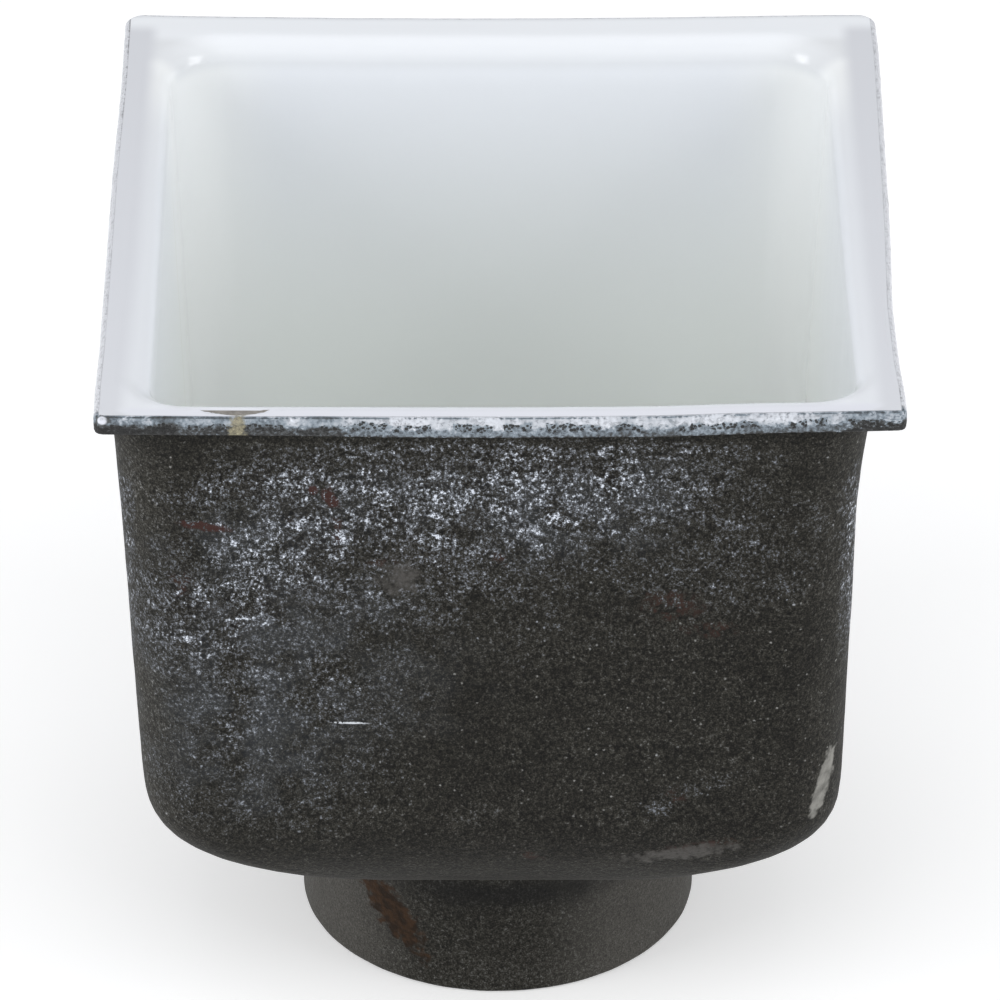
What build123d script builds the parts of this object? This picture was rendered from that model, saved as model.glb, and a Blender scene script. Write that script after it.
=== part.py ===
from build123d import *
from math import acos, cos, pi, sqrt, tan
import os

# Floor sink: a deep square basin of cast iron with a thin flanged rim, a dished bottom and a round
# outlet hub. White enamel is fused to the inside and over the rim, and a domed strainer stands
# loose in a seat over the outlet. Millimetres, +Z up. The origin is the centre of the hub's free
# end, which is also under the centre of the square rim. The front is -Y.

# Rim, measured over the enamel: its width between the middles of opposite sides, and how much
# further out the corners stand, because the sides bow in between them
rim_width = 305.0
rim_corner_flare = 1.5
rim_thickness = 8.5
rim_corner_radius = 6.0
rim_edge_radius = 2.0

# Heights from the hub's free end to the lowest point of the dish's curve, and on up to the rim
dish_base_height = 55.0
dish_depth = 69.0
wall_height = 190.5

# Outside of the walls, which the rim overhangs, and how far their mould half sat off its centre
rim_overhang = 8.4
wall_draft_degrees = 2.27
outer_corner_radius_top = 27.5
outer_corner_radius_bottom = 31.0
wall_shift = (-3.4, -3.0)
under_rim_fillet = 3.0

# Dished bottom: a quarter ellipse in profile, which turns from a rounded square into a circle
dish_reach = 109.0
dish_corner_ratio = 1.3
dish_step_count = 7

# Iron, enamel and inside corners, and how far the core sat off the rim's centre
iron_thickness = 11.0
enamel_thickness = 1.0
inner_corner_radius_top = 19.0
inner_corner_radius_bottom = 21.0
rim_roll_radius = 10.5
core_shift = (-0.5, -4.1)

# Outlet hub, with a lip that a pipe of this radius comes up through, to be caulked from inside
hub_end_radius = 80.3
hub_root_radius = 80.9
hub_end_round = 3.0
hub_root_ledge = 4.0
hub_root_fillet = 2.5
hub_bore_radius = 66.5
pipe_radius = 57.15
pipe_gap = 1.35
pipe_lip_height = 8.0

# Strainer and its seat
strainer_radius = 73.0
strainer_side_gap = 1.0
strainer_base_thickness = 4.0
seat_depth = 5.0
seat_ledge = 3.0
dome_radius = 61.0
dome_height = 44.0
dome_wall = 3.5
slot_width = 7.0
slot_count = 12
long_slot_start = 20.0
short_slot_start = 41.0
slot_sill = 3.0

# Levels and sizes worked out from the values above
wall_bottom = dish_base_height + dish_depth
rim_underside = wall_bottom + wall_height
rim_top = rim_underside + rim_thickness
wall_taper = tan(wall_draft_degrees * pi / 180)
wall_top_half = rim_width / 2 - rim_overhang
wall_bottom_half = wall_top_half - wall_height * wall_taper
dish_curve_centre = wall_bottom_half - dish_reach
wall_thickness = iron_thickness + enamel_thickness
seat_radius = strainer_radius + strainer_side_gap

# Extra depth of a solid that is cut away or joined, the least straight side of a nearly round
# square, how exactly an edge's level is matched, and the edges around a rounded square
overlap = 5.0
least_straight = 1.0
level_match = 0.01
square_edge_count = 8


def rounded_square(half, radius, level, shift):
    """A level square face with round corners, nearly a circle where the radius reaches half."""
    fitted = min(radius, half - least_straight / 2)
    return Pos(*shift, level) * RectangleRounded(2 * half, 2 * half, fitted)


def cylinder(radius, bottom, top):
    """An upright cylinder on the hub's axis, between two levels."""
    return extrude(Pos(0, 0, bottom) * Circle(radius), top - bottom)


def dish_half(depth_in, angle):
    """Half width of the dish's quarter ellipse, depth_in inside the outer face, at an angle."""
    return dish_curve_centre + (dish_reach - depth_in) * cos(angle)


def dish_level(depth_in, half):
    """Level at which the dish, depth_in inside the outer face, has come in to a half width."""
    share = (half - dish_curve_centre) / (dish_reach - depth_in)
    return wall_bottom - (dish_depth - depth_in) * sqrt(1 - share * share)


def walls(depth_in, top_level, top_radius, bottom_radius, shift):
    """The straight drafted walls as a solid block, depth_in inside their outer face."""
    top_half = wall_top_half - depth_in + (top_level - rim_underside) * wall_taper
    top = rounded_square(top_half, top_radius, top_level, shift)
    bottom = rounded_square(wall_bottom_half - depth_in, bottom_radius, wall_bottom, shift)
    return loft([bottom, top], ruled=True)


def dish(depth_in, start_radius, end_half, shift):
    """The dish as a solid block, down to a round end face that is centred on the hub's axis."""
    last_angle = acos((end_half - dish_curve_centre) / (dish_reach - depth_in))
    start_half = wall_bottom_half - depth_in
    sections = []
    for step in range(dish_step_count + 1):
        share = step / dish_step_count
        half = dish_half(depth_in, last_angle * share)
        radius = start_radius + dish_corner_ratio * (start_half - half)
        here = (shift[0] * (1 - share), shift[1] * (1 - share))
        sections.append(rounded_square(half, radius, dish_level(depth_in, half), here))
    return loft(sections)


def edges_at(shape, level):
    """The edges of a shape that lie at a level, those nearest the axis first."""
    found = [edge for edge in shape.edges() if abs(edge.center().Z - level) < level_match]
    return sorted(found, key=lambda edge: max(abs(edge.center().X), abs(edge.center().Y)))


def rim_outline(inset):
    """The flange's outline as a level face, its four sides bowed in between the corners."""
    middle = rim_width / 2 - inset
    corner = middle + rim_corner_flare
    side = ThreePointArc((corner, -corner), (middle, 0), (corner, corner))
    face = Face(Wire([Rot(0, 0, 90 * turn) * side for turn in range(4)]))
    return fillet(face.vertices(), rim_corner_radius - inset)


def rim_block(cover):
    """The square flange without its mouth, under a cover of enamel or, with none, over it."""
    block = extrude(Pos(0, 0, rim_underside) * rim_outline(cover), rim_thickness - cover)
    return fillet(block.edges().group_by(Axis.Z)[-1], rim_edge_radius - cover)


def hollow(cover):
    """The inside of the basin as a solid to cut away, with a cover still to go on what is cut."""
    depth_in = wall_thickness - cover
    mouth_level = rim_top - cover
    open_level = mouth_level + rim_roll_radius + overlap
    top_radius = inner_corner_radius_top + cover
    inside = walls(depth_in, open_level, top_radius, inner_corner_radius_bottom + cover, core_shift)
    air = Rectangle(2 * rim_width, 2 * rim_width)
    above = extrude(Pos(0, 0, mouth_level) * air, open_level - mouth_level)
    mouth = above + inside
    mouth = fillet(edges_at(mouth, mouth_level)[:square_edge_count], rim_roll_radius - cover)
    ledge_half = seat_radius + seat_ledge
    floor = dish_level(wall_thickness, ledge_half) - seat_depth - cover
    bottom = dish(depth_in, inner_corner_radius_bottom + cover, ledge_half + cover, core_shift)
    seat = cylinder(seat_radius + cover, floor, floor + seat_depth + overlap)
    return mouth + bottom + seat


def hub_bore():
    """The caulking bore, with the narrower lip at its free end, as a solid to cut away."""
    return cylinder(pipe_radius + pipe_gap, 0, pipe_lip_height) + cylinder(
        hub_bore_radius, pipe_lip_height, wall_bottom
    )


def hub(top):
    """The hub as a solid block, from its free end up to a level inside the dish."""
    root_level = dish_level(0, hub_root_radius + hub_root_ledge)
    slope = (hub_root_radius - hub_end_radius) / root_level
    block = Pos(0, 0, top / 2) * Cone(hub_end_radius, hub_end_radius + slope * top, top)
    return fillet(block.edges().group_by(Axis.Z)[0], hub_end_round)


def basin_casting():
    """The one iron casting: flange, walls, dish and hub, bored and hollowed."""
    root_half = hub_root_radius + hub_root_ledge
    root_level = dish_level(0, root_half)
    body = walls(0, rim_underside, outer_corner_radius_top, outer_corner_radius_bottom, wall_shift)
    body += dish(0, outer_corner_radius_bottom, root_half, wall_shift)
    body += hub(root_level + overlap)
    root_edges = [edge for edge in edges_at(body, root_level) if edge.is_closed]
    body = fillet(root_edges, hub_root_fillet)
    body += rim_block(enamel_thickness)
    body = fillet(edges_at(body, rim_underside)[:square_edge_count], under_rim_fillet)
    return body - hollow(enamel_thickness) - hub_bore()


def enamel_lining():
    """The fused white coat on the inside, the seat, the rim's top and the rim's edge."""
    rim_coat = rim_block(0) - rim_block(enamel_thickness)
    below_coat = extrude(Rectangle(rim_width, rim_width), rim_top - enamel_thickness)
    lining = hollow(enamel_thickness) & below_coat
    return rim_coat + lining - hollow(0) - hub_bore()


def strainer_slot(start):
    """One radial slot, from a rounded inner end at start out past the dome, along +X."""
    length = dome_radius + overlap - start
    middle = Pos(start + length / 2, 0, 0) * Box(length, slot_width, dome_height)
    return middle + Pos(start, 0, 0) * Cylinder(slot_width / 2, dome_height)


def dome_strainer():
    """The loose cast dome over the outlet: a flat base ring and a slotted spherical cap."""
    base_level = dish_level(wall_thickness, seat_radius + seat_ledge) - seat_depth
    cap_foot = base_level + strainer_base_thickness
    rise = dome_height - strainer_base_thickness
    sphere_radius = (dome_radius**2 + rise**2) / (2 * rise)
    inner_radius = sphere_radius - dome_wall
    centre_level = base_level + dome_height - sphere_radius
    opening_radius = sqrt(inner_radius**2 - (cap_foot - centre_level) ** 2)
    cap = Sphere(sphere_radius) - Sphere(inner_radius)
    cap = Pos(0, 0, centre_level) * cap & cylinder(strainer_radius, cap_foot, cap_foot + dome_height)
    ring = cylinder(strainer_radius, base_level, cap_foot) - cylinder(opening_radius, base_level, cap_foot)
    strainer = ring + cap
    slot_level = cap_foot + slot_sill + dome_height / 2
    for index in range(2 * slot_count):
        start = long_slot_start if index % 2 == 0 else short_slot_start
        turned = Rot(0, 0, 180 * index / slot_count) * strainer_slot(start)
        strainer -= Pos(0, 0, slot_level) * turned
    return strainer


parts = {
    "basin_casting": basin_casting(),
    "enamel_lining": enamel_lining(),
    "dome_strainer": dome_strainer(),
}

os.makedirs("parts", exist_ok=True)
for name, shape in parts.items():
    export_step(shape, f"parts/{name}.step")
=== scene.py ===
import bpy
import math
import numpy as np
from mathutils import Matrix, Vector, noise


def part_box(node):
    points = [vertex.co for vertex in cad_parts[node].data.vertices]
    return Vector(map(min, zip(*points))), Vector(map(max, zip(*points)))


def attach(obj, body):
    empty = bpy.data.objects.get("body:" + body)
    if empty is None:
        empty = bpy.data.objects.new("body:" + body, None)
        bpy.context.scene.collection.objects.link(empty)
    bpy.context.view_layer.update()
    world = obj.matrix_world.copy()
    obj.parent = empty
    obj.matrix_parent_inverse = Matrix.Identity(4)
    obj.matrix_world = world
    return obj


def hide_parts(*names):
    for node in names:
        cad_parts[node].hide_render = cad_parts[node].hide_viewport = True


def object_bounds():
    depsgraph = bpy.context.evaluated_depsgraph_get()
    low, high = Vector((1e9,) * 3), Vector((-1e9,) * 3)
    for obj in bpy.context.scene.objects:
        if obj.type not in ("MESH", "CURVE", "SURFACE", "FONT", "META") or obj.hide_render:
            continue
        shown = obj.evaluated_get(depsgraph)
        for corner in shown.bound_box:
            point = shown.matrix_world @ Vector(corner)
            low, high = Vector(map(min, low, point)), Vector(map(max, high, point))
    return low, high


# A square floor sink of cast iron: glossy white enamel inside and over the rim, a rough black
# sand-cast outside speckled with stray enamel, and a loose cast dome strainer over the outlet.
# Lengths are millimetres while the shapes are worked out, and metres once they are Blender's.
# The materials' masks read places in metres, and take the sizes of grains and patches in millimetres.

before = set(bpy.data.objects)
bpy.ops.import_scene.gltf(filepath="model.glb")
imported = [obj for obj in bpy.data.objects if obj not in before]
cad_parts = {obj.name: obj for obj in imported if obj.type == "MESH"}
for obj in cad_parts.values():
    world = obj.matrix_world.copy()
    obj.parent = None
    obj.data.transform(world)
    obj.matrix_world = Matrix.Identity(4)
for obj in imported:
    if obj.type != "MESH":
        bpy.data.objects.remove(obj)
cad_low, cad_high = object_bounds()

METRES = 0.001

# Rim, walls and dish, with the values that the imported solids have
rim_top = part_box("enamel_lining")[1].z / METRES
rim_half = 152.5
rim_thickness = 8.5
rim_edge_radius = 2.0
rim_underside = rim_top - rim_thickness
dish_base_height = 55.0
dish_depth = 69.0
wall_bottom = dish_base_height + dish_depth
wall_taper = math.tan(math.radians(2.27))
wall_top_half = 144.1
wall_bottom_half = wall_top_half - (rim_underside - wall_bottom) * wall_taper
wall_shift = (-3.4, -3.0)
outer_corner_radii = (27.5, 31.0)
under_rim_fillet = 3.0
dish_reach = 109.0
dish_corner_ratio = 1.3
dish_curve_centre = wall_bottom_half - dish_reach
iron_thickness = 11.0
enamel_thickness = 1.0
wall_thickness = iron_thickness + enamel_thickness
inner_corner_radii = (np.array([22.5, 22.5, 16.5, 16.5]), 21.0)
rim_roll_radius = 10.5
core_shift = (-0.5, -4.1)

# Hub, bores and the strainer's seat
hub_end_radius = 79.8
hub_root_radius = 80.7
hub_end_round = 2.2
hub_root_ledge = 4.0
hub_root_fillet = 3.4
hub_shift = (-0.9, 0.0)
hub_bore_radius = 66.5
pipe_bore_radius = 58.5
pipe_lip_height = 8.0
pipe_lip_land = 4
pipe_lip_bevel = 0.6
seat_radius = 74.0
seat_depth = 5.0
seat_ledge = 3.0
seat_edge_round = 1.0

# What the hand of the maker left: each corner of the rim has its own radius, in the order back
# right, back left, front left, front right, and the rim's line wanders. The pairs are a place
# along the rim and how far the rim stands out, or up, there.
rim_corner_radii = (7.5, 8.0, 4.0, 3.5)
rim_out_right = [
    (-150, 1.3), (-135, 1.1), (-118, -0.2), (-75, -1.3), (-20, -0.2), (60, 0.3), (120, 0.5), (150, -0.2),
]
rim_out_left = [(-150, 1.3), (-126, 1.3), (-105, 0.8), (-40, 0.6), (20, 0.6), (100, -0.5), (150, -0.4)]
rim_up_back = [(-150, 0.8), (-110, 0.0), (-60, -0.6), (20, -0.8), (60, -0.3), (110, 0.4), (150, 1.0)]
rim_up_front = [(-150, -1.3), (-90, -1.7), (0, -1.9), (60, -1.4), (95, -0.1), (150, 1.0)]
rim_thinner_front = [(-150, 0.9), (-70, 0.8), (-40, 0.1), (60, 0.0), (120, 0.3), (150, 0.5)]
rim_mean_drop = 1.0
rim_wander_from = 270.0
rim_flat_inside = 143.5
rim_flat_outside = 150.0

# How far the mouth is widened, by place along its sides. It sets in between two levels on each
# side, and fades out towards the middle and the rim's front edge. The inside is what lies nearer
# to the core's axis than the middle of the iron, measured on a nearly square oval.
mouth_out_right = [(-150, 4.0), (-125, 3.8), (-96, 3.4), (-50, 2.3), (12, 1.5), (74, 0.5), (120, 0.0)]
mouth_out_left = [
    (-150, 3.6), (-125, 3.4), (-96, 2.5), (-50, 1.6), (12, 1.2), (74, 1.0), (120, 0.4), (150, 0.0),
]
mouth_levels_right = (190.0, 300.0)
mouth_levels_left = (312.0, rim_top)
mouth_side = (95.0, 128.0)
mouth_front = (-150.5, -147.0)
mouth_margin = 0.3
flange_margin = 1.5
square_power = 10

# How far the outer walls and the dish stand out from their nominal faces, by level
wall_flare_from = 288.0
wall_flare = 1.6
dish_sag_level = 78.0
dish_sag = 0.8
wall_out_left = [
    (92, 0.0), (103, -0.9), (117, -1.2), (124, -0.2), (133, 0.2), (142, 0.1), (152, 0.2), (166, 0.4),
    (262, 0.4), (270, 0.8), (284, 0.5), (298, 0.9), (314, 2.0),
]
wall_out_right = [
    (92, -1.0), (104, -1.1), (112, -0.6), (118, 0.1), (125, 0.9), (133, 1.1), (142, 0.9), (150, 0.7),
    (163, 0.6), (185, 0.0), (215, -0.3), (240, -0.8), (260, -1.3), (270, -1.0), (278, -0.5), (286, -0.2),
    (293, 0.3), (300, 1.0), (306, 1.6), (314, 2.4),
]

# Marks on the rim: a crescent chip just in front of the mouth, and a bead by the front left corner
chip_middle = -99.3
chip_half = 12.5
chip_back = -145.6
chip_width = 3.6
chip_depth = 0.7
crumb_size = 2.6
crumb_seed = 5.0
crumb_depth = 0.3
bead_place = (-149.2, -152.3, rim_top - 1.1)
bead_radius = 2.0
bead_height = 0.9

# The casting's unevenness: the size of its lumps, their seed and share, and how far each face is
# pushed. The faces between iron and enamel are plain, with a bevel round the rim.
unevenness = [(38.0, 3.0, 0.6), (11.0, 9.0, 0.4)]
iron_push = 0.3
enamel_push = 0.12
edge_push = 0.2
hidden_bevel = 1.0

# Points round a ring, per half side and per corner: hidden faces, body and rim edge
side_points = 8
corner_points = 6
corner_guide = 0.45
HIDDEN = 1
BODY = 4
RIM = 16

# Rings along the inside, by walls, dish and roll, where they show and where the iron hides them
inside_counts = (22, 18, 9)
hidden_counts = (6, 8, 6)
wall_ring_count = 46
dish_ring_count = 16


def ring(half, radii, level, shift=(0.0, 0.0), fine=BODY):
    """Points round a level rounded square. Where it is nearly round they stay evenly spaced."""
    quarters = []
    for quarter in range(4):
        radius = radii[quarter] if np.ndim(radii) else radii
        radius = min(radius, half - 0.5)
        straight = half - radius
        arc = radius * math.pi / 2
        guide = min(radius, corner_guide * half)
        guide_straight = half - guide
        guide_arc = guide * math.pi / 2
        side = np.linspace(0, guide_straight, side_points * fine, endpoint=False)
        corner = np.linspace(0, guide_arc, corner_points * fine, endpoint=False)
        guided = np.concatenate([side, guide_straight + corner, guide_straight + guide_arc + side])
        along = guided * (2 * straight + arc) / (2 * guide_straight + guide_arc)
        turn = np.clip((along - straight) / radius, 0, math.pi / 2)
        x = straight + radius * np.cos(turn) - np.maximum(along - straight - arc, 0)
        y = np.minimum(along, straight) + radius * np.sin(turn)
        for _ in range(quarter):
            x, y = -y, x
        quarters.append(np.stack([x + shift[0], y + shift[1], np.full_like(x, level)], axis=1))
    return np.concatenate(quarters)


def between(first, last, shares):
    """Rings part of the way from one ring to another with as many points."""
    return [first * (1 - share) + last * share for share in shares]


def outline(inset, level, fine):
    """The flange's outline, inset from its nominal edge."""
    radii = [max(radius - inset, 0.8) for radius in rim_corner_radii]
    return ring(rim_half - inset, radii, level, fine=fine)


def steps(first, last, count):
    """Evenly spaced values after the first one, up to and with the last one."""
    return [first + (last - first) * (index + 1) / count for index in range(count)]


def wall_ring(depth_in, level, radii, shift, fine):
    """The drafted wall at a level, depth_in inside the outer face."""
    share = (level - wall_bottom) / (rim_underside - wall_bottom)
    half = wall_bottom_half - depth_in + (level - wall_bottom) * wall_taper
    return ring(half, radii[1] + (radii[0] - radii[1]) * share, level, shift, fine)


def outer_wall_ring(level):
    """The outer wall at a level. It spreads a little under the rim."""
    return moved_out(wall_ring(0, level, outer_corner_radii, wall_shift, BODY))


def moved_out(points):
    """Moves points of the outer walls and the dish to where the crooked casting has them."""
    x, y, z = points.T
    left = wandering(z, wall_out_left) * soft_step(-x, 40, 110)
    right = wandering(z, wall_out_right) * soft_step(x, 40, 110)
    spread = wall_flare * soft_step(z, wall_flare_from, rim_underside)
    sag = dish_sag * soft_step(-np.abs(z - dish_sag_level), -18, -6)
    sag *= soft_step(-np.abs(x), -105, -60) * soft_step(-y, 20, 60)
    spread_y = y + np.sign(y) * soft_step(np.abs(y), 40, 110) * spread
    return np.stack([x - left + right, spread_y, z - sag], axis=1)


def dish_half(depth_in, angle):
    """Half width of the dish's quarter ellipse, depth_in inside the outer face, at an angle."""
    return dish_curve_centre + (dish_reach - depth_in) * math.cos(angle)


def dish_level(depth_in, half):
    """Level at which the dish, depth_in inside the outer face, has come in to a half width."""
    share = (half - dish_curve_centre) / (dish_reach - depth_in)
    return wall_bottom - (dish_depth - depth_in) * math.sqrt(1 - share * share)


def dish_rings(depth_in, start_radius, end_half, shift, count, fine):
    """The dish below the walls, down to a round end ring on the hub's axis."""
    last_angle = math.acos((end_half - dish_curve_centre) / (dish_reach - depth_in))
    start_half = wall_bottom_half - depth_in
    rings = []
    for share in steps(0, 1, count):
        half = dish_half(depth_in, last_angle * share)
        radius = start_radius + dish_corner_ratio * (start_half - half)
        here = (shift[0] * (1 - share), shift[1] * (1 - share))
        rings.append(ring(half, radius, dish_level(depth_in, half), here, fine))
    return rings


def round_ring(radius, level, shift=(0.0, 0.0), fine=BODY):
    """A ring that is nearly a circle."""
    return ring(radius, radius, level, shift, fine)


def edge_round(centre_half, centre_level, radius, first_angle, last_angle, count):
    """Half widths and levels along a rounded edge. Angle 0 points outward and 90 up."""
    angles = [math.radians(angle) for angle in steps(first_angle, last_angle, count)]
    return [(centre_half + radius * math.cos(a), centre_level + radius * math.sin(a)) for a in angles]


def roll_rings(cover, count, fine):
    """The rolled edge of the mouth, from the inner wall up to the rim's flat top."""
    depth_in = wall_thickness - cover
    radius = rim_roll_radius - cover
    centre_level = rim_top - rim_roll_radius
    lean = math.degrees(math.atan(wall_taper))
    wall_half = wall_bottom_half - depth_in + (centre_level - wall_bottom) * wall_taper
    centre_half = wall_half + radius * math.sqrt(1 + wall_taper * wall_taper)
    corner = inner_corner_radii[0] + cover
    rings = []
    for half, level in edge_round(centre_half, centre_level, radius, 180 - lean, 90, count):
        rings.append(ring(half, corner + half - wall_half, level, core_shift, fine))
    return rings


def inside_rings(cover, wall_count, dish_count, roll_count, fine):
    """The hollow's surface from the dish's round end up to the rim's flat top."""
    depth_in = wall_thickness - cover
    radii = (inner_corner_radii[0] + cover, inner_corner_radii[1] + cover)
    end_half = seat_radius + seat_ledge + cover
    dish = dish_rings(depth_in, radii[1], end_half, core_shift, dish_count, fine)
    levels = steps(wall_bottom, rim_top - rim_roll_radius, wall_count)[:-1]
    walls = [wall_ring(depth_in, level, radii, core_shift, fine) for level in [wall_bottom] + levels]
    return dish[::-1] + walls + roll_rings(cover, roll_count, fine)


def wandering(places, pairs):
    """A soft curve through given pairs of place and offset."""
    grid = np.arange(-180.0, 331.0, 1.0)
    line = np.interp(grid, [place for place, _ in pairs], [offset for _, offset in pairs])
    reach = 18
    blur = np.exp(-((np.arange(-reach, reach + 1) / 7.0) ** 2))
    soft = np.convolve(np.pad(line, reach, mode="edge"), blur / blur.sum(), mode="valid")
    return np.interp(places, grid, soft)


def soft_step(values, low, high):
    """0 below low and 1 above high, with a soft rise in between."""
    share = np.clip((values - low) / (high - low), 0, 1)
    return share * share * (3 - 2 * share)


def settle(points):
    """Moves nominal points to where the real, slightly crooked casting has them."""
    x, y, z = points.T
    rim = soft_step(z, rim_wander_from, rim_underside)
    flange = z > rim_underside - under_rim_fillet
    out_x = soft_step(np.abs(x), rim_flat_inside, rim_flat_outside) * flange
    sideways = np.where(x > 0, wandering(y, rim_out_right), -wandering(y, rim_out_left))
    right = soft_step(z, *mouth_levels_right) * soft_step(x, *mouth_side) * wandering(y, mouth_out_right)
    left = soft_step(z, *mouth_levels_left) * soft_step(-x, *mouth_side) * wandering(y, mouth_out_left)
    back = soft_step(y, -rim_half, rim_half)
    up = wandering(x, rim_up_front) * (1 - back) + wandering(x, rim_up_back) * back
    lower = soft_step(rim_top - z, 3, rim_thickness) * flange
    up += lower * wandering(x, rim_thinner_front) * (1 - back)
    moved_x = x + out_x * sideways + mouth_share(x, y, z) * (right - left)
    return np.stack([moved_x, y, z + rim * (up - rim_mean_drop)], axis=1)


def mouth_share(x, y, z):
    """1 on the inner faces and on top of the rim, 0 on the walls' outer faces and the rim's edge."""
    mid_iron = wall_bottom_half + (z - wall_bottom) * wall_taper - wall_thickness / 2 + mouth_margin
    powers = np.abs(x - core_shift[0]) ** square_power + np.abs(y - core_shift[1]) ** square_power
    inside = (powers ** (1 / square_power) < mid_iron) | (z > rim_underside + flange_margin)
    inside = inside * soft_step(-np.abs(x), -rim_flat_outside, -rim_flat_inside)
    return inside * soft_step(y, *mouth_front)


def lumps(points, size, seed):
    """Smooth noise from -1 to 1 at each point, with lumps of about this size."""
    return np.array([noise.noise(Vector(point) / size + Vector((seed, 0, 0))) for point in points])


def faces_between(first_start, first_count, last_start, last_count):
    """Faces that join two rings, one of which may have several times the other's points."""
    count = min(first_count, last_count)
    faces = []
    for index in range(count):
        lower = stretch(first_start, first_count, first_count // count, index)
        upper = stretch(last_start, last_count, last_count // count, index)
        faces.append(lower + upper[::-1])
    return faces


def stretch(start, count, ratio, index):
    """The points of a ring, by number, along one face of a ring with ratio times fewer points."""
    return [start + (index * ratio + step) % count for step in range(ratio + 1)]


def stack_piece(name, rings, roughness, body, sharp_degrees, material, marks=None):
    """A closed piece through rings that go once round its cross-section. roughness gives, for each
    ring, how far in millimetres its points are pushed in and out by the casting's unevenness, and
    marks adds its own push from the nominal places, which the mesh keeps for its material."""
    starts = np.cumsum([0] + [len(points) for points in rings])
    faces = []
    for index, points in enumerate(rings):
        following = (index + 1) % len(rings)
        faces += faces_between(starts[index], len(points), starts[following], len(rings[following]))
    nominal = np.concatenate(rings)
    points = settle(nominal)
    mesh = bpy.data.meshes.new(name)
    mesh.from_pydata((points * METRES).tolist(), [], faces)
    if volume(mesh) < 0:
        mesh.flip_normals()
    amount = np.concatenate([np.full(len(points), rough) for points, rough in zip(rings, roughness)])
    offset = amount * sum(share * lumps(points, size, seed) for size, seed, share in unevenness)
    if marks is not None:
        offset += marks(nominal)
    push(mesh, points, offset)
    mesh.attributes.new("nominal", "FLOAT_VECTOR", "POINT")
    mesh.attributes["nominal"].data.foreach_set("vector", (nominal * METRES).ravel())
    mesh.shade_smooth()
    mesh.set_sharp_from_angle(angle=math.radians(sharp_degrees))
    mesh.materials.append(material)
    piece = bpy.data.objects.new(name, mesh)
    bpy.context.collection.objects.link(piece)
    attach(piece, body)
    return piece


def volume(mesh):
    """The signed volume inside a closed mesh."""
    mesh.calc_loop_triangles()
    corners = np.array([[mesh.vertices[v].co for v in tri.vertices] for tri in mesh.loop_triangles])
    return np.einsum("ij,ij->", corners[:, 0], np.cross(corners[:, 1], corners[:, 2])) / 6


def push(mesh, points, offset):
    """Pushes points along the surface's own normals, in millimetres, and keeps them in the CAD box."""
    normals = np.array([vertex.vector for vertex in mesh.vertex_normals])
    placed = points * METRES + normals * (offset * METRES)[:, None]
    placed = np.clip(placed, np.array(cad_low), np.array(cad_high))
    mesh.vertices.foreach_set("co", placed.astype(np.float32).ravel())
    mesh.update()


def rim_marks(points):
    """The crumbly lower part of the rim's edge, the chip in the front and the bead by the corner."""
    x, y, z = points.T
    down = rim_top - z
    outer = np.maximum(np.abs(x), np.abs(y)) > rim_half - 0.5
    face = outer & (down > 1.9) & (down < rim_thickness)
    offset = np.zeros(len(points))
    crumbly = crumb_depth * soft_step(down[face], 2, 6)
    offset[face] = crumbly * (lumps(points[face], crumb_size, crumb_seed) - 0.3)
    along = (x - chip_middle) / chip_half
    border = chip_back - chip_width * np.clip(1 - along * along, 0, 1)
    chip = soft_step(y, border - 0.4, border + 0.3) * soft_step(-y, -chip_back, -chip_back + 0.8)
    offset -= chip_depth * chip * (down < 2)
    bead = np.linalg.norm(points - np.array([bead_place]), axis=1) / bead_radius
    return offset + bead_height * np.clip(1 - bead * bead, 0, 1)


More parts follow.
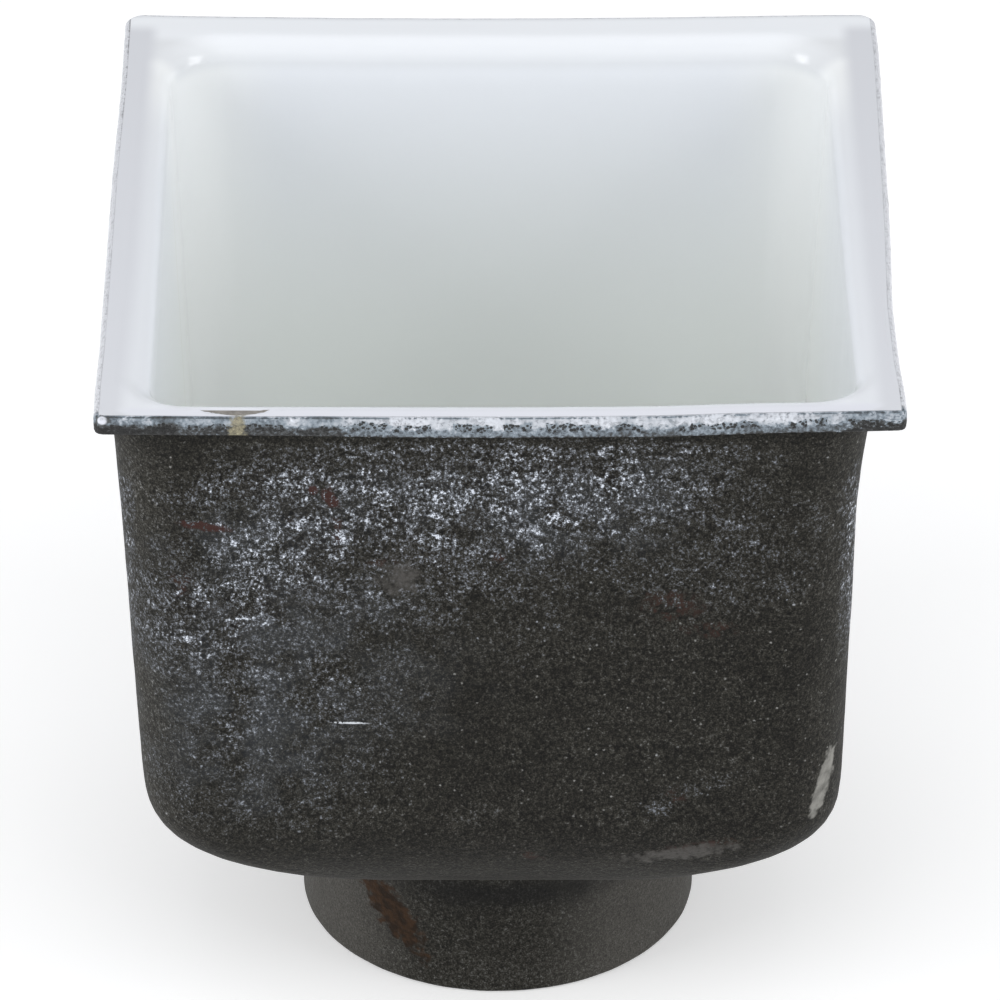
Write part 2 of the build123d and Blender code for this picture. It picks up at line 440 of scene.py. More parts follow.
class Paint:
    """One material's nodes. Its methods take and give sockets, or plain numbers."""

    def __init__(self, name, nominal=False):
        self.material = bpy.data.materials.new(name)
        self.material.use_nodes = True
        self.tree = self.material.node_tree
        self.shader = self.tree.nodes["Principled BSDF"]
        if nominal:
            self.place = self.node("ShaderNodeAttribute", {"attribute_name": "nominal"}).outputs["Vector"]
        else:
            self.place = self.node("ShaderNodeTexCoord").outputs["Object"]
        parts = self.node("ShaderNodeSeparateXYZ", Vector=self.place)
        self.x, self.y, self.z = parts.outputs
        self.front_share = None

    def node(self, kind, settings=None, **values):
        """A node with its settings, and its inputs by name from sockets or numbers."""
        made = self.tree.nodes.new(kind)
        for name, value in (settings or {}).items():
            setattr(made, name, value)
        for name, value in values.items():
            self.feed(made.inputs[name.replace("_", " ")], value)
        return made

    def feed(self, socket, value):
        if isinstance(value, bpy.types.NodeSocket):
            self.tree.links.new(value, socket)
        else:
            socket.default_value = value

    def math(self, operation, *values):
        made = self.node("ShaderNodeMath", {"operation": operation})
        for socket, value in zip(made.inputs, values):
            self.feed(socket, value)
        return made.outputs[0]

    def add(self, first, *others):
        for other in others:
            first = self.math("ADD", first, other)
        return first

    def times(self, first, *others):
        for other in others:
            first = self.math("MULTIPLY", first, other)
        return first

    def less(self, first, second):
        return self.math("SUBTRACT", first, second)

    def rest(self, value):
        return self.less(1.0, value)

    def centred(self, noise_value):
        """Noise round 0.5, brought round 0."""
        return self.less(noise_value, 0.5)

    def line(self, value, slope, start):
        """The value times slope, plus start."""
        return self.math("MULTIPLY_ADD", value, slope, start)

    def absolute(self, value):
        return self.math("ABSOLUTE", value)

    def soft(self, value, low, high):
        """0 at low and 1 at high, soft in between. low may be above high."""
        made = self.node("ShaderNodeMapRange", {"interpolation_type": "SMOOTHSTEP"})
        for name, number in (("Value", value), ("From Min", low), ("From Max", high)):
            self.feed(made.inputs[name], number)
        return made.outputs[0]

    def stretched(self, scale):
        """The place, scaled by its own factor in each direction."""
        made = self.node("ShaderNodeVectorMath", {"operation": "MULTIPLY"})
        self.feed(made.inputs[0], self.place)
        made.inputs[1].default_value = scale
        return made.outputs[0]

    def grain(self, size, detail=2.0, roughness=0.5, distortion=0.0, place=None):
        """Noise round 0.5 whose lumps are about size millimetres."""
        made = self.node(
            "ShaderNodeTexNoise",
            Vector=place or self.place,
            Scale=1 / (size * METRES),
            Detail=detail,
            Roughness=roughness,
            Distortion=distortion,
        )
        return made.outputs[0]

    def dots(self, spacing):
        """Distance to the nearest of scattered points, 0 to 1, and a random number for each."""
        made = self.node("ShaderNodeTexVoronoi", Vector=self.place, Scale=1 / (spacing * METRES))
        number = self.node("ShaderNodeSeparateColor", Color=made.outputs["Color"]).outputs[0]
        return made.outputs["Distance"], number

    def away_from(self, point):
        """Distance in millimetres from a point that is given in millimetres."""
        made = self.node("ShaderNodeVectorMath", {"operation": "DISTANCE"})
        self.feed(made.inputs[0], self.place)
        made.inputs[1].default_value = [value * METRES for value in point]
        return self.times(made.outputs["Value"], 1 / METRES)

    def mix(self, share, first, second):
        """A colour between two colours."""
        made = self.node("ShaderNodeMix", {"data_type": "RGBA"})
        self.feed(made.inputs[0], share)
        self.feed(made.inputs[6], first)
        self.feed(made.inputs[7], second)
        return made.outputs[2]

    def blend(self, share, first, second):
        """A number between two numbers."""
        made = self.node("ShaderNodeMix", {"data_type": "FLOAT"})
        self.feed(made.inputs[0], share)
        self.feed(made.inputs[2], first)
        self.feed(made.inputs[3], second)
        return made.outputs[0]

    def scaled(self, colour, amount):
        """A colour times a number."""
        made = self.node("ShaderNodeVectorMath", {"operation": "SCALE"})
        self.feed(made.inputs[0], colour)
        self.feed(made.inputs["Scale"], amount)
        return made.outputs[0]

    def patch(self, wobble, centre, size, tilt=0.0, soft=0.3, ragged=0.25):
        """1 inside an ellipse on the front, given in x and z with its half sizes, 0 outside it.
        wobble, from -1 to 1, makes its border ragged."""
        made = self.node("ShaderNodeMapping", {"vector_type": "TEXTURE"}, Vector=self.place)
        made.inputs["Location"].default_value = (centre[0] * METRES, 0, centre[1] * METRES)
        made.inputs["Rotation"].default_value = (0, -math.radians(tilt), 0)
        made.inputs["Scale"].default_value = (size[0] * METRES, 1000.0, size[1] * METRES)
        distance = self.node("ShaderNodeVectorMath", {"operation": "LENGTH"}, Vector=made.outputs[0])
        reach = self.line(wobble, ragged, distance.outputs["Value"])
        return self.times(self.soft(reach, 1 + soft, 1 - soft), self.front())

    def front(self):
        """1 on the front wall and the front of the rim and hub, 0 on the other sides."""
        if self.front_share is None:
            self.front_share = self.soft(self.y, -0.03, -0.06)
        return self.front_share

    def wobble(self, size, detail=2.0):
        """Noise from about -1 to 1 whose lumps are about size millimetres."""
        return self.line(self.grain(size, detail=detail), 4.0, -2.0)

    def greatest(self, first, *others):
        for other in others:
            first = self.math("MAXIMUM", first, other)
        return first

    def bump(self, height, depth, under=None):
        """A normal raised by height, 0 to 1, times depth in millimetres."""
        made = self.node("ShaderNodeBump", Height=height)
        made.inputs["Strength"].default_value = 1.0
        made.inputs["Distance"].default_value = depth * METRES
        if under is not None:
            self.feed(made.inputs["Normal"], under)
        return made.outputs[0]

    def finish(self, **values):
        for name, value in values.items():
            self.feed(self.shader.inputs[name.replace("_", " ")], value)
        return self.material


def grey(value, red=1.0, green=1.0, blue=1.0):
    return (value * red, value * green, value * blue, 1.0)


# Where stray enamel lies thickest on the front: centre, half sizes, tilt and share
speck_fields = [
    ((-18, 283), (88, 17), 1, 0.95),
    ((29, 284), (32, 15), 0, 1.45),
    ((-74, 287), (26, 11), 0, 1.05),
    ((-16, 262), (64, 10), 0, 0.75),
    ((-92, 258), (17, 12), 8, 1.35),
    ((-26, 281), (26, 12), 6, 1.35),
    ((74, 287), (17, 8), 0, 0.75),
    ((-66, 266), (56, 18), 14, 0.95),
    ((22, 272), (46, 15), 8, 0.95),
    ((-98, 246), (34, 20), 20, 0.95),
    ((-110, 222), (30, 30), 0, 0.75),
    ((-100, 188), (28, 36), 0, 0.52),
    ((78, 273), (34, 18), 0, 0.42),
    ((6, 302), (78, 10), 0, 0.85),
    ((-48, 244), (80, 30), 8, 0.50),
    ((-72, 196), (38, 40), 25, 0.48),
    ((70, 258), (56, 30), 0, 0.40),
    ((-20, 252), (120, 48), 0, 0.25),
    ((-90, 150), (50, 30), 0, 0.36),
    ((60, 170), (60, 50), 0, 0.10),
    ((-10, 128), (16, 7), 0, 0.15),
    ((72, 141), (24, 5), 20, 0.28),
    ((62, 133), (6, 6), 0, 0.35),
]
# The same for a bluish haze of dust
haze_fields = [
    ((28, 276), (40, 18), 8, 0.9),
    ((-40, 280), (50, 14), 4, 0.6),
    ((-92, 262), (38, 14), 14, 0.8),
    ((-80, 216), (42, 24), 0, 1.0),
    ((-98, 176), (34, 36), 0, 1.2),
    ((-40, 190), (30, 22), 20, 0.5),
]

# The drip line on the left wall, in metres, and the pin marks on the back wall: place and radius
drip_lean = 0.10
drip_start = 0.075
drip_top = 0.31
pin_marks = [((-116.5, 112.5, 186.0), 1.0), ((119.0, 110.0, 182.0), 1.0), ((69.0, 112.5, 192.0), 0.7)]

# Bright rust flakes and darker rust spots on the front: centre, half sizes and tilt
rust_flakes = [
    ((-64.6, 281), (2.6, 4.6), 20),
    ((-71, 284.5), (1.5, 1.8), 0),
    ((-113, 267.3), (9.0, 1.8), -8),
]
rust_spots = [
    ((-62, 268), (1.6, 9), 0),
    ((-80, 272), (1.6, 2), 0),
    ((-44, 250.5), (4.5, 1.6), 0),
    ((-122, 240), (3.5, 5), 0),
    ((0, 252), (3, 3), 0),
    ((66, 230), (10, 6), 0),
    ((82, 219), (9, 3), 0),
    ((68, 138), (3.5, 3.5), 0),
    ((12, 107), (4, 2), -30),
    ((80, 114), (16, 2.0), 10),
]

# Brightness of the iron's darkest parts and of its brightest specks, and the tone of the painted shade on
# the enamel's roll
darkest_iron = 0.0086
brightest_speck = 0.72
roll_shade_tone = (0.74, 0.76, 0.79, 1.0)


def weighted(paint, wobble, fields, soft, ragged):
    """The greatest of several patches, each times its own share."""
    found = [
        paint.times(paint.patch(wobble, centre, size, tilt, soft, ragged), share)
        for centre, size, tilt, share in fields
    ]
    return paint.greatest(*found)


def raw_iron():
    """Sand-cast iron, dark, with a fine grain, stray enamel, rust and rubbed places, and painted light and
    shade on its sides, dish and hub.
    """
    paint = Paint("raw_cast_iron")
    soft, times, add, mix = paint.soft, paint.times, paint.add, paint.mix
    x, y, z = paint.x, paint.y, paint.z
    wide = paint.wobble(24.0)
    close = paint.wobble(4.5)
    cloud = paint.grain(16.0, detail=3.0)
    fine = paint.grain(0.62, detail=1.0)
    grit = paint.grain(1.35, detail=2.0, roughness=0.65, place=paint.stretched((1.0, 1.0, 0.86)))
    clumps = paint.grain(4.0, detail=2.0, place=paint.stretched((0.9, 0.9, 1.0)))

    # How thickly the stray enamel lies: in fields on the front, by chance on the other sides, and in a band
    # down the front's side corners that is partly a painted sheen
    elsewhere = times(soft(wide, 0.0, 0.9), soft(y, -0.10, -0.07))
    elsewhere = times(elsewhere, soft(z, 0.10, 0.20), 0.75)
    low_rim = soft(z, 0.3125, 0.303)
    placed = times(weighted(paint, wide, speck_fields, 0.75, 0.25), low_rim)
    # Stray enamel dust thickened on the front's side corners, with a painted sheen where the sides turn
    # away
    right_corner_dust_sheen = times(soft(x, 0.127, 0.138), soft(z, 0.17, 0.23))
    left_corner_dust_sheen = times(soft(x, -0.137, -0.1435), soft(z, 0.17, 0.22), 0.5)
    corners = times(
        add(right_corner_dust_sheen, left_corner_dust_sheen),
        soft(z, 0.298, 0.268),
        soft(y, -0.02, -0.09),
    )
    density = paint.greatest(placed, elsewhere, corners)
    streaks = paint.grain(8.0, detail=3.0, roughness=0.6, place=paint.stretched((0.8, 0.8, 1.4)))
    density = paint.greatest(times(density, paint.line(streaks, 3.0, -0.5)), 0.0)

    # Painted light, partly wear: lighter on the front's sides, and from the dish's turn down, less on the
    # hub under it
    side = paint.absolute(x)
    lift = paint.greatest(
        times(soft(x, -0.116, -0.140), soft(z, 0.312, 0.28)),
        times(soft(x, 0.112, 0.132), 0.35),
    )
    lift = add(
        times(lift, paint.front()),
        times(soft(z, 0.112, 0.090), 0.17),
        times(soft(z, 0.100, 0.086), soft(side, 0.05, 0.10), 0.55),
        times(soft(z, 0.083, 0.078), 0.95),
        times(soft(z, 0.060, 0.052), -0.55),
        times(soft(z, 0.022, 0.010), 0.35),
    )

    # The grain's brightness spreads evenly on a scale of doublings, more so where enamel lies
    power = add(
        times(paint.centred(fine), paint.blend(density, 6.5, 7.0)),
        times(paint.centred(grit), paint.blend(density, 7.0, 18.0)),
        times(paint.centred(clumps), paint.blend(density, 1.5, 9.0)),
    )
    median = add(
        darkest_iron,
        times(soft(cloud, 0.35, 0.65), 0.003),
        times(lift, 0.0135),
        times(density, 0.031),
    )
    distance, number = paint.dots(2.9)
    lone = times(soft(distance, 0.24, 0.10), soft(number, 0.62, 1.0), 0.20)
    lone = times(lone, soft(z, 0.085, 0.15), soft(grit, 0.40, 0.56))
    bright = add(times(median, paint.math("POWER", 2.0, power)), lone)
    bright = paint.math("MINIMUM", bright, brightest_speck)
    cool = times(soft(bright, 0.02, 0.07), paint.greatest(soft(density, -0.1, 0.3), 0.5))
    tint = mix(cool, grey(1.0, 1.07, 1.0, 0.80), grey(1.0, 0.93, 0.99, 1.10))
    colour = paint.scaled(tint, bright)

    # Haze and rust
    haze = times(weighted(paint, wide, haze_fields, 0.8, 0.4), soft(cloud, 0.35, 0.6))
    colour = mix(times(haze, 0.13), colour, grey(0.13, 0.86, 0.98, 1.16))
    rust = [paint.patch(close, centre, size, tilt, 0.55, 0.45) for centre, size, tilt in rust_spots]
    rust = times(paint.greatest(*rust), soft(grit, 0.58, 0.46), soft(clumps, 0.40, 0.56))
    colour = mix(times(rust, 0.75), colour, (0.034, 0.016, 0.012, 1.0))
    flakes = [paint.patch(close, centre, size, tilt, 0.3, 0.45) for centre, size, tilt in rust_flakes]
    flakes = times(paint.greatest(*flakes), soft(grit, 0.66, 0.56), 0.9)
    colour = mix(flakes, colour, (0.040, 0.016, 0.013, 1.0))
    specks = soft(bright, 0.08, 0.25)

    # Marks on the front: the hub's sides, painted lighter with painted side light and wear, a painted
    # shadow on the hub under the dish, the hub's rust, the bare place, the rubs and scratches
    on_hub = soft(z, 0.063, 0.058)
    # The hub's sides are painted lighter and warmer: painted side light, with some wear
    hub_side_light_and_wear = paint.greatest(
        times(soft(x, -0.026, -0.066), on_hub),
        times(soft(x, 0.010, 0.050), on_hub, 0.80),
    )
    hub_side_light_and_wear = times(hub_side_light_and_wear, soft(y, 0.0, -0.02), add(fine, 0.05))
    colour = mix(hub_side_light_and_wear, colour, grey(0.093, 1.05, 1.0, 0.91))
    # A painted shadow on the hub just under the dish
    shade = times(paint.patch(wide, (4, 49), (34, 6.5), 0, 0.8, 0.5), on_hub)
    colour = mix(times(shade, 0.75), colour, grey(0.006))
    hub_rust = paint.patch(close, (-43.5, 32.5), (6.8, 19), 36, 0.22, 0.45)
    rust_share = soft(clumps, 0.40, 0.60)
    rust_tone = mix(rust_share, (0.016, 0.0085, 0.004, 1.0), (0.036, 0.018, 0.008, 1.0))
    colour = mix(hub_rust, colour, rust_tone)
    bare = paint.patch(close, (126.3, 138.5), (3.0, 14), -12, 0.25, 0.45)
    bare = times(bare, clumps, 1.6)
    colour = mix(bare, colour, grey(0.23, 1.0, 0.98, 0.90))
    rub = paint.greatest(
        paint.patch(close, (72, 109), (20, 3.6), 12, 0.4, 0.6),
        times(paint.patch(close, (-38, 243), (6.0, 6.5), 20, 0.8, 0.9), 0.9),
    )
    rub = times(rub, paint.line(grit, 1.6, 0.1))
    colour = mix(rub, colour, grey(0.062, 1.05, 0.99, 0.92))
    scratch = paint.patch(close, (-57.8, 174.2), (6.8, 0.52), -2, 0.3, 0.25)
    scratch = times(scratch, soft(grit, 0.36, 0.52))
    colour = mix(scratch, colour, grey(0.62, 0.95, 0.99, 1.06))
    dark_scratch = paint.patch(close, (-18.5, 194.5), (2.8, 0.35), 0, 0.4, 0.1)
    colour = mix(times(dark_scratch, 0.8), colour, grey(0.006))

    normal = paint.bump(add(grit, times(clumps, 0.8)), 0.45)
    gloss = paint.blend(specks, 0.65, 0.4)
    return paint.finish(Base_Color=colour, Roughness=gloss, Normal=normal, Specular_IOR_Level=0.14)


def white_enamel():
    """Glossy white enamel, thin, pitted and dirty on the rim's edge, with painted light and shade: brighter
    and greener low in the basin, whiter in its back corners, and a different tone on each side of the rolls
    and the rim's top.
    """
    paint = Paint("white_enamel", nominal=True)
    soft, times, add, mix = paint.soft, paint.times, paint.add, paint.mix
    x, y, z = paint.x, paint.y, paint.z
    # Low in the basin the enamel is painted brighter and greener: painted fill light where the walls shade
    # it
    deep_fill_light = soft(z, 0.318, 0.16)
    colour = mix(deep_fill_light, (0.835, 0.86, 0.905, 1.0), (0.905, 0.932, 0.905, 1.0))
    side = paint.absolute(x)
    across = times(paint.greatest(side, paint.absolute(y)), 1 / METRES)
    down = times(paint.less(rim_top * METRES, z), 1 / METRES)
    # The basin's back corners are painted whiter: painted light and reflection
    corner = times(soft(side, 0.085, 0.122), soft(y, 0.03, 0.11), 0.65)
    colour = mix(corner, colour, (0.95, 0.965, 0.955, 1.0))
    # The rolled edge at the back, and the side rolls near it, are painted darker: painted shade on the
    # rolls
    roll = times(soft(y, 0.112, 0.120), soft(z, 0.3095, 0.3170), 0.75)
    colour = mix(roll, colour, roll_shade_tone)
    # The back rim's top is painted lighter: painted light
    colour = mix(times(soft(y, 0.128, 0.136), 0.9), colour, (0.89, 0.915, 0.95, 1.0))
    side_roll_shade = times(
        soft(side, 0.125, 0.133),
        soft(z, 0.305, 0.313),
        soft(y, 0.10, 0.06),
        0.5,
    )
    colour = mix(side_roll_shade, colour, roll_shade_tone)
    # The rim's top is painted darker on the left and right and a little darker in front: painted shade, the
    # same enamel lit differently by side
    flat = times(soft(side, 0.136, 0.143), soft(y, 0.146, 0.136))
    colour = mix(flat, colour, (0.685, 0.70, 0.74, 1.0))
    front_flat_shade = times(soft(y, -0.143, -0.147), paint.rest(flat))
    colour = mix(front_flat_shade, colour, (0.765, 0.78, 0.84, 1.0))
    # The rim's outer edge at the back is painted darker: painted shade where it turns away from the light
    far_edge_shade = times(soft(y, 0.1475, 0.1530), 0.35)
    colour = mix(far_edge_shade, colour, grey(0.30, 0.97, 1.0, 1.05))

    # How thin the enamel is: along the front's edge by place, and by chance along the other sides
    ahead = soft(y, -0.1455, -0.1510)
    right = soft(x, 0.126, 0.138)
    smear = paint.grain(9.0, detail=3.0, roughness=0.6, place=paint.stretched((1.0, 1.0, 0.6)))
    crumbs = paint.grain(1.5, detail=3.0, roughness=0.6, distortion=0.3)
    front_thin = add(
        times(soft(x, -0.050, -0.066), 1.37),
        times(soft(x, -0.118, -0.132), 1.3),
        times(soft(x, 0.034, 0.046), soft(x, 0.074, 0.064), 0.4),
        times(soft(x, 0.086, 0.094), 0.25),
        times(right, 0.85),
        times(soft(x, 0.143, 0.149), 0.3),
        times(soft(x, -0.141, -0.146), 0.4),
        0.47,
    )
    sides_thin = times(soft(paint.grain(45.0, detail=1.0), 0.38, 0.62), 0.8)
    thin = paint.blend(ahead, sides_thin, front_thin)

    # Wear counts how often the enamel's brightness is halved
    lower = soft(down, 2.2, 5.5)
    wear = add(
        times(thin, paint.line(lower, 1.2, 0.75)),
        times(paint.centred(smear), thin, 2.6),
        times(
            paint.centred(crumbs),
            paint.line(lower, 5.0, 1.2),
            add(times(thin, 0.9), times(right, 1.2), 0.35),
        ),
        times(soft(down, 3.5, 7.0), 1.1),
        times(right, ahead, 0.4),
    )
    wear = times(paint.greatest(wear, 0.0), paint.greatest(ahead, lower))

    # Round black pits in groups along the upper part of the edge, each group in a grey halo
    distance, number = paint.dots(1.35)
    group = soft(paint.grain(5.0, detail=1.0, place=paint.stretched((1.0, 1.0, 0.6))), 0.40, 0.53)
    group = paint.greatest(group, right)
    height = paint.line(paint.centred(smear), 7.0, down)
    row = times(soft(height, 1.9, 3.2), soft(height, 6.4, 4.8), group)
    size = paint.line(number, 0.34, 0.25)
    pits = times(soft(paint.less(distance, size), 0.10, -0.06), soft(row, 0.25, 0.5))

    # The lowest part of the edge is darkened: nearly bare, and painted shade where it turns under
    shifted = paint.line(right, 2.0, down)
    bottom = soft(paint.line(crumbs, 3.0, shifted), 8.9, 10.2)

    # A thin broken line where the enamel turns over the edge. It lies further in on the sides.
    inset = paint.less(rim_half, across)
    off_line = paint.absolute(paint.less(inset, paint.blend(ahead, 2.1, 1.2)))
    worn_side = add(
        0.12,
        times(soft(y, 0.04, 0.11), soft(x, 0.0, -0.1), 0.9),
        times(soft(y, -0.130, -0.142), soft(x, 0.0, 0.1), 1.2),
    )
    broken = add(times(thin, 0.08), smear, times(paint.centred(crumbs), 0.8))
    arris = times(
        soft(off_line, 0.5, 0.15),
        soft(broken, 0.44, 0.66),
        paint.blend(ahead, worn_side, 1.0),
        soft(y, 0.150, 0.146),
    )
    wear = add(wear, row, times(pits, 3.8), times(bottom, 2.4), times(arris, 1.5))

    # Thin enamel lets the iron through, first bluish and then grey
    edge = soft(across, rim_half - 2.4, rim_half - 1.9)
    film = mix(soft(wear, 0.3, 1.8), (0.70, 0.73, 0.79, 1.0), (0.62, 0.74, 0.86, 1.0))
    film = mix(soft(wear, 2.6, 4.2), film, (0.72, 0.76, 0.78, 1.0))
    film = mix(soft(ahead, 0.9, 0.0), film, (0.70, 0.715, 0.755, 1.0))
    colour = mix(edge, colour, paint.scaled(film, paint.math("POWER", 0.5, wear)))

    # The chip, the bare strip below it and the bead by the corner
    along = times(paint.less(x, chip_middle * METRES), 1 / (chip_half * METRES))
    crescent = paint.greatest(paint.rest(times(along, along)), 0.0)
    behind = paint.less(times(y, 1 / METRES), chip_back)
    reach = add(behind, times(crescent, chip_width))
    chip = times(
        soft(behind, 0.15, -0.15),
        soft(reach, -0.2, 0.15),
        soft(crescent, 0.0, 0.05),
    )
    chip_tone = paint.scaled((0.25, 0.235, 0.215), paint.line(crumbs, 1.2, 0.4))
    colour = mix(chip, colour, chip_tone)
    strip = paint.patch(paint.wobble(2.6), (chip_middle, 319.2), (3.1, 5.4), -6, 0.35, 0.45)
    strip = times(strip, soft(y, -0.1480, -0.1492))
    strip_tone = paint.scaled((0.27, 0.245, 0.165), paint.line(crumbs, 4.0, -1.05))
    colour = mix(times(strip, 0.92), colour, strip_tone)
    bead = paint.away_from(bead_place)
    dirt = times(soft(bead, 3.2, 2.2), soft(crumbs, 0.42, 0.52), 0.8)
    colour = mix(dirt, colour, grey(0.09, 0.95))
    colour = mix(soft(bead, 2.0, 1.1), colour, (0.68, 0.70, 0.76, 1.0))
    colour = drips_and_pins(paint, colour)

    # A faint orange peel all over, and a crumbly edge
    peel = paint.grain(9.0, detail=1.0)
    normal = paint.bump(peel, 0.02)
    lift = times(edge, add(crumbs, times(soft(crumbs, 0.55, 0.65), -0.8)))
    normal = paint.bump(lift, 0.5, normal)
    gloss = paint.blend(edge, 0.18, paint.blend(soft(wear, 0.3, 2.0), 0.25, 0.6))
    gloss = paint.blend(paint.greatest(chip, strip), gloss, 0.8)
    return paint.finish(Base_Color=colour, Roughness=gloss, Normal=normal)


def drips_and_pins(paint, colour):
    """A yellowish line down the inside of the left wall, and small dark pin marks on the back wall."""
    x, y, z = paint.x, paint.y, paint.z
    line = paint.add(y, paint.times(paint.less(drip_top, z), drip_lean))
    drip = paint.times(
        paint.soft(paint.absolute(paint.less(line, drip_start)), 0.0016, 0.0),
        paint.soft(x, -0.10, -0.115),
        paint.soft(x, -0.140, -0.134),
        paint.soft(z, 0.30, 0.27),
    )
    colour = paint.mix(paint.times(drip, 0.42), colour, (0.64, 0.64, 0.45, 1.0))
    for place, radius in pin_marks:
        near = paint.soft(paint.away_from(place), radius, radius * 0.4)
        colour = paint.mix(paint.times(near, 0.7), colour, (0.16, 0.16, 0.15, 1.0))
    return colour


def cast_aluminium():
    """Dull cast aluminium with a fine sandy skin and darker hollows."""
    paint = Paint("cast_aluminium")
    fine = paint.grain(0.8, detail=3.0, roughness=0.6)
    cloud = paint.grain(14.0, detail=3.0)
    colour = paint.mix(paint.soft(cloud, 0.3, 0.7), grey(0.50, 1.0, 1.0, 0.98), grey(0.66, 1.0, 1.0, 0.99))
    colour = paint.mix(paint.soft(fine, 0.6, 0.75), colour, grey(0.40))
    normal = paint.bump(fine, 0.12)
    gloss = paint.blend(cloud, 0.34, 0.56)
    return paint.finish(Base_Color=colour, Metallic=1.0, Roughness=gloss, Normal=normal)


def basin_iron():
    """The casting's outside, its bores, and the faces under the enamel."""
    visible = [outline(enamel_thickness, rim_underside, BODY)]
    wall_start = outer_wall_ring(rim_underside - under_rim_fillet)
    away = [
        ring_pushed_out(wall_start, out, rim_underside - under_rim_fillet + up)
        for out, up in fillet_steps(under_rim_fillet, 5)
    ]
    visible += between(visible[0], away[0], [0.3, 0.6, 0.85]) + away
    levels = steps(rim_underside - under_rim_fillet, wall_bottom, wall_ring_count)
    visible += [outer_wall_ring(level) for level in levels]
    root_half = hub_root_radius + hub_root_ledge
    root_level = dish_level(0, root_half)
    dish = dish_rings(0, outer_corner_radii[1], root_half, wall_shift, dish_ring_count, BODY)
    visible += [moved_out(points) for points in dish[:-1]] + dish[-1:]
    slope = (hub_root_radius - hub_end_radius) / root_level
    for out, up in fillet_steps(hub_root_fillet, 4):
        level = root_level - hub_root_fillet + up
        visible.append(round_ring(hub_end_radius + slope * level + out, level, hub_shift))
    for level in steps(root_level - hub_root_fillet, hub_end_round, 12):
        visible.append(round_ring(hub_end_radius + slope * level, level, hub_shift))
    for half, level in edge_round(hub_end_radius - hub_end_round, hub_end_round, hub_end_round, 0, -90, 5):
        visible.append(round_ring(half, level, hub_shift))
    bore = [round_ring(pipe_bore_radius + out, 0) for out in (pipe_lip_land, pipe_lip_bevel)]
    bore += [round_ring(pipe_bore_radius, pipe_lip_bevel)]
    bore += [round_ring(pipe_bore_radius, level) for level in steps(pipe_lip_bevel, pipe_lip_height, 3)]
    bore += [round_ring(radius, pipe_lip_height) for radius in steps(pipe_bore_radius, hub_bore_radius, 3)]
    seat_floor = dish_level(wall_thickness, seat_radius + seat_ledge) - seat_depth - enamel_thickness
    bore += [round_ring(hub_bore_radius, level) for level in steps(pipe_lip_height, seat_floor, 8)]
    ledge_half = seat_radius + seat_ledge + enamel_thickness
    ledge_level = dish_level(iron_thickness, ledge_half)
    hidden = [
        round_ring(seat_radius + enamel_thickness, seat_floor, fine=HIDDEN),
        round_ring(seat_radius + enamel_thickness, ledge_level, fine=HIDDEN),
    ]
    hidden += inside_rings(enamel_thickness, *hidden_counts, HIDDEN)
    hidden += [
        outline(enamel_thickness + hidden_bevel, rim_top - enamel_thickness, HIDDEN),
        outline(enamel_thickness, rim_top - enamel_thickness - hidden_bevel, HIDDEN),
    ]
    rings = visible + bore + hidden
    roughness = [0.0] + [iron_push] * (len(visible) - 1) + [0.0] * (len(bore) + len(hidden))
    piece = stack_piece("basin_iron", rings, roughness, "basin", sharp_degrees=50, material=raw_iron())
    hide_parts("basin_casting")
    return piece


def fillet_steps(radius, count):
    """Steps of a fillet from a level face, radius away from the wall, down onto the wall."""
    made = []
    for angle in steps(0, 90, count):
        turn = math.radians(angle)
        made.append((radius * (1 - math.sin(turn)), radius * math.cos(turn)))
    return [(radius, radius)] + made


def ring_pushed_out(points, out, level):
    """A ring moved outward along its own normals, to another level."""
    flat = points[:, :2]
    along = np.roll(flat, -1, axis=0) - np.roll(flat, 1, axis=0)
    normal = np.stack([along[:, 1], -along[:, 0]], axis=1)
    normal /= np.linalg.norm(normal, axis=1)[:, None]
    moved = flat + normal * out
    return np.column_stack([moved, np.full(len(points), level)])


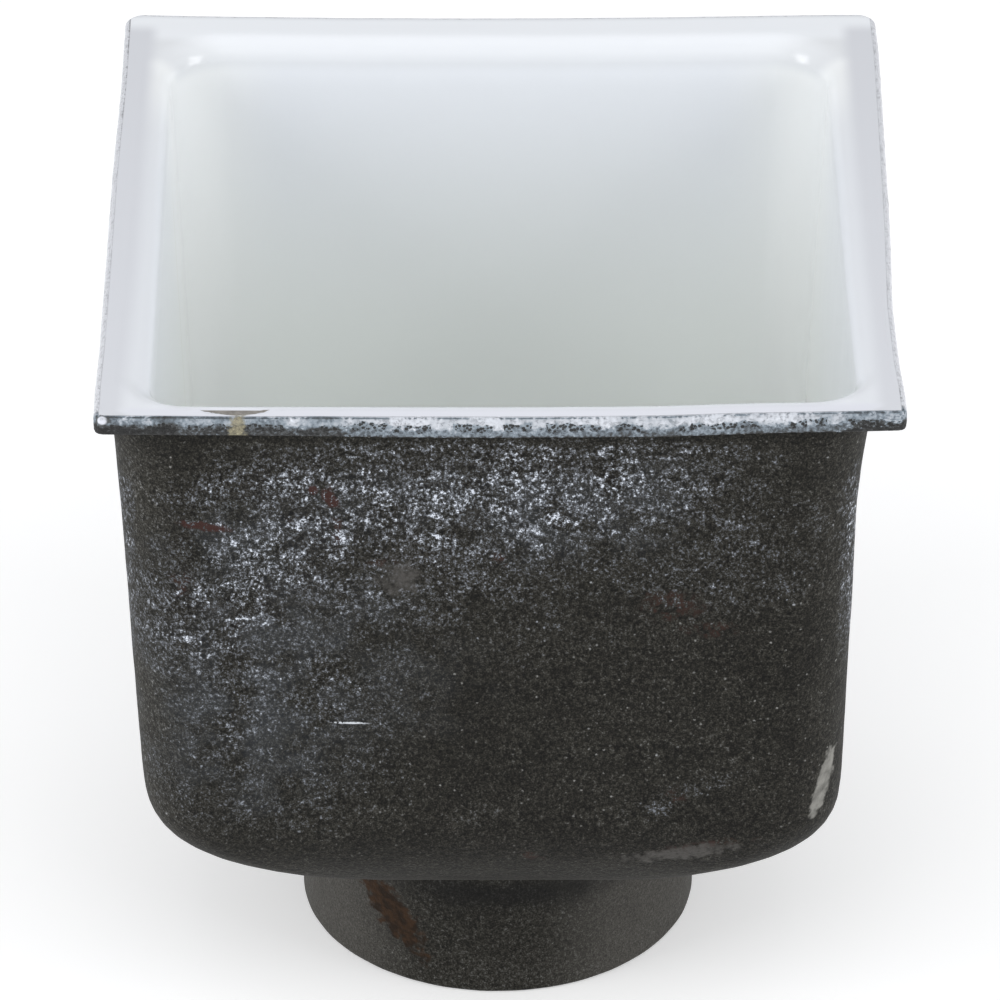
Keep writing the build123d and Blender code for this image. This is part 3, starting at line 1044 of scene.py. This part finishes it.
def basin_enamel():
    """The enamel's face from the outlet's edge up and over the rim, and its back on the iron."""
    ledge_half = seat_radius + seat_ledge
    ledge_level = dish_level(wall_thickness, ledge_half)
    seat_floor = ledge_level - seat_depth
    drops = [(0.0, enamel_thickness), (0.0, 0.4), (0.15, 0.1), (0.5, 0.0)]
    seat = [round_ring(hub_bore_radius + out, seat_floor - drop) for out, drop in drops]
    turn = seat_edge_round
    seat += [round_ring(seat_radius - turn, seat_floor)]
    foot = edge_round(seat_radius - turn, seat_floor + turn, turn, -90, 0, 4)
    top = edge_round(seat_radius + turn, ledge_level - turn, turn, 180, 90, 4)
    seat += [round_ring(*place) for place in foot]
    seat += [round_ring(seat_radius, ledge_level - turn)] + [round_ring(*place) for place in top]
    basin = inside_rings(0.0, *inside_counts, BODY)
    flat_start = basin[-1]
    flat_end = outline(rim_edge_radius, rim_top, BODY)
    flat = between(flat_start, flat_end, [0.15, 0.3, 0.45])
    fine_end = outline(rim_edge_radius, rim_top, RIM)
    fine_start = ring_refined(flat_start, RIM // BODY)
    rim = between(fine_start, fine_end, [0.55, 0.68, 0.8, 0.9, 1.0])
    turn = rim_edge_radius
    for half, level in edge_round(rim_half - turn, rim_top - turn, turn, 90, 0, 4):
        rim.append(outline(rim_half - half, level, RIM))
    rim += [outline(0.0, level, RIM) for level in steps(rim_top - turn, rim_underside + 0.7, 5)]
    rim += [outline(0.2, rim_underside + 0.2, RIM), outline(0.6, rim_underside, RIM)]
    back = [
        outline(enamel_thickness, rim_underside, BODY),
        outline(enamel_thickness, rim_underside + hidden_bevel, HIDDEN),
        outline(enamel_thickness, rim_top - enamel_thickness - hidden_bevel, HIDDEN),
        outline(enamel_thickness + hidden_bevel, rim_top - enamel_thickness, HIDDEN),
    ]
    back += inside_rings(enamel_thickness, *hidden_counts, HIDDEN)[::-1]
    back_ledge = dish_level(iron_thickness, ledge_half + enamel_thickness)
    back += [
        round_ring(seat_radius + enamel_thickness, back_ledge, fine=HIDDEN),
        round_ring(seat_radius + enamel_thickness, seat_floor - enamel_thickness, fine=HIDDEN),
    ]
    rings = seat + basin + flat + rim + back
    roughness = [0.0] * len(seat) + [enamel_push] * (len(basin) + len(flat))
    roughness += [edge_push] * len(rim) + [0.0] * len(back)
    material = white_enamel()
    piece = stack_piece(
        "basin_enamel", rings, roughness, "basin", sharp_degrees=60, material=material, marks=rim_marks
    )
    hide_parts("enamel_lining")
    return piece


def ring_refined(points, ratio):
    """The same ring with ratio times as many points."""
    count = len(points)
    places = np.arange(count * ratio) / ratio
    closed = np.vstack([points, points[:1]])
    return np.stack([np.interp(places, np.arange(count + 1), closed[:, axis]) for axis in range(3)], axis=1)


def strainer():
    """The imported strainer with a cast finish."""
    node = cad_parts["dome_strainer"]
    node.data.materials.clear()
    node.data.materials.append(cast_aluminium())
    return node


def floor():
    """A plain pale floor that shines a little, though not inside the hub that stands on it."""
    reach = 4.0
    mesh = bpy.data.meshes.new("floor")
    corners = [(-reach, -reach, 0), (reach, -reach, 0), (reach, reach, 0), (-reach, reach, 0)]
    mesh.from_pydata(corners, [], [(0, 1, 2, 3)])
    paint = Paint("pale_floor")
    away = paint.node("ShaderNodeVectorMath", {"operation": "LENGTH"}, Vector=paint.place)
    shine = paint.times(paint.soft(away.outputs["Value"], 0.076, 0.079), 0.28)
    material = paint.finish(
        Base_Color=grey(0.93),
        Roughness=0.9,
        Specular_IOR_Level=0.1,
        Emission_Color=grey(1.0),
        Emission_Strength=shine,
    )
    mesh.materials.append(material)
    piece = bpy.data.objects.new("floor", mesh)
    bpy.context.collection.objects.link(piece)


def soft_light(name, place, aim, width, height, power, shine=True):
    """A rectangular studio light that faces a point. Without shine it leaves no highlights."""
    data = bpy.data.lights.new(name, "AREA")
    data.shape = "RECTANGLE"
    data.size = width
    data.size_y = height
    data.energy = power
    light = bpy.data.objects.new(name, data)
    light.visible_glossy = shine
    bpy.context.collection.objects.link(light)
    light.location = place
    light.rotation_euler = (Vector(aim) - Vector(place)).to_track_quat("-Z", "Y").to_euler()


def studio():
    """White surroundings, one large soft light on each side and a weak one in front."""
    world = bpy.data.worlds.new("studio")
    world.use_nodes = True
    background = world.node_tree.nodes["Background"]
    background.inputs["Color"].default_value = (0.97, 0.98, 1.0, 1.0)
    background.inputs["Strength"].default_value = 0.616
    bpy.context.scene.world = world
    middle = (0.0, 0.0, 0.2)
    soft_light("left_side", (-1.52, -0.7, 0.95), middle, 0.8, 1.1, 12.9)
    soft_light("right_side", (1.52, -0.7, 0.95), middle, 0.8, 1.1, 12.1)
    soft_light("front_fill", (0.0, -1.5, 1.9), middle, 1.0, 1.0, 7.2, shine=False)
    bpy.context.scene.view_settings.view_transform = "Standard"


def camera():
    """A long lens at the photograph's angle, aimed at the sink's axis."""
    elevation = math.radians(32.826)
    distance = 3.516
    aim = Vector((0.0, 0.0, 0.1857))
    data = bpy.data.cameras.new("camera")
    data.sensor_width = 36.0
    data.lens = 316.1
    made = bpy.data.objects.new("camera", data)
    bpy.context.collection.objects.link(made)
    made.location = aim + distance * Vector((0.0, -math.cos(elevation), math.sin(elevation)))
    made.rotation_euler = (math.pi / 2 - elevation, 0.0, 0.0)
    bpy.context.scene.camera = made


camera()
basin_iron()
basin_enamel()
strainer()
floor()
studio()
